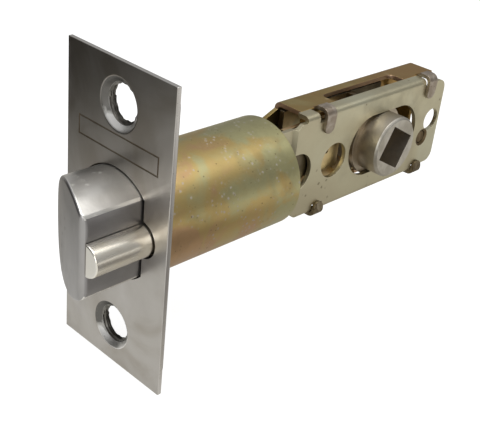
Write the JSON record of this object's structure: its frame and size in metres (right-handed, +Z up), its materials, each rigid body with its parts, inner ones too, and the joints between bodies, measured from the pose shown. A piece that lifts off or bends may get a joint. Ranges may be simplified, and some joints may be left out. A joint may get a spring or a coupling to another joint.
{
  "type": "tubular door latch",
  "caption": "Tubular door latch: bevelled bolt and half-round guard bolt through a screw-fixed face plate, round barrel, and a crimped side housing with a turning hub.",
  "frame": {"origin": "centre of the face plate's outer face, on the axis of the round barrel", "axes": "+X into the door along the barrel, -X the way the bolt comes out, -Y the side of the pale cover, +Z up, the hub's axis parallel to Y"},
  "size_m": [0.105, 0.028, 0.06],
  "materials": {
    "stainless": "brushed satin",
    "bolt_nickel": "satin nickel plate",
    "guard_nickel": "satin nickel plate",
    "yellow_zinc": "yellow chromate on zinc plate",
    "pale_zinc": "pale yellow chromate on zinc plate",
    "gold_zinc": "dark yellow chromate on zinc plate",
    "hub_nickel": "satin nickel plate",
    "cast_zinc": "bare die cast zinc",
    "bare_steel": "bright zinc plate",
    "spring_steel": "bright wire"
  },
  "bodies": {
    "case": {"face_plate": "stainless", "backing_plate": "bare_steel", "barrel_tube": "yellow_zinc", "rear_bush": "cast_zinc", "channel_frame": "gold_zinc", "side_cover": "pale_zinc", "cover_pillar": "bare_steel", "lever_stud": "bare_steel", "lever_spring": "spring_steel", "bolt_spring": "spring_steel", "guard_spring": "spring_steel"},
    "bolt": {"latch_bolt": "bolt_nickel", "bolt_cross_pin": "bare_steel", "bolt_tail": "yellow_zinc", "retractor": "yellow_zinc"},
    "guard": {"guard_bolt": "guard_nickel", "guard_tail": "yellow_zinc", "guard_rivet": "bare_steel"},
    "hub": {"hub": "hub_nickel"},
    "lever": {"deadlock_lever": "yellow_zinc"}
  },
  "joints": [
    {"name": "bolt_slide", "type": "slide", "parent": "case", "child": "bolt", "axis": [1, 0, 0], "range_m": [0, 0.0127], "stiffness_N_per_m": 470, "springref_m": -0.009, "deforming": ["bolt_spring"]},
    {"name": "guard_slide", "type": "slide", "parent": "case", "child": "guard", "axis": [1, 0, 0], "range_m": [0, 0.012], "stiffness_N_per_m": 200, "springref_m": -0.01, "deforming": ["guard_spring"]},
    {"name": "hub_turn", "type": "hinge", "parent": "case", "child": "hub", "pos_m": [0.07, 0, 0], "axis": [0, 1, 0], "range_deg": [0, 83.9]},
    {"name": "lever_turn", "type": "hinge", "parent": "case", "child": "lever", "pos_m": [0.058, 0, 0.0074], "axis": [0, -1, 0], "range_deg": [0, 7]}
  ],
  "couplings": [
    {"joint": "hub_turn", "follows": "bolt_slide", "rad_per_m": 115.28},
    {"joint": "lever_turn", "follows": "guard_slide", "rad_per_m": 10.18}
  ]
}
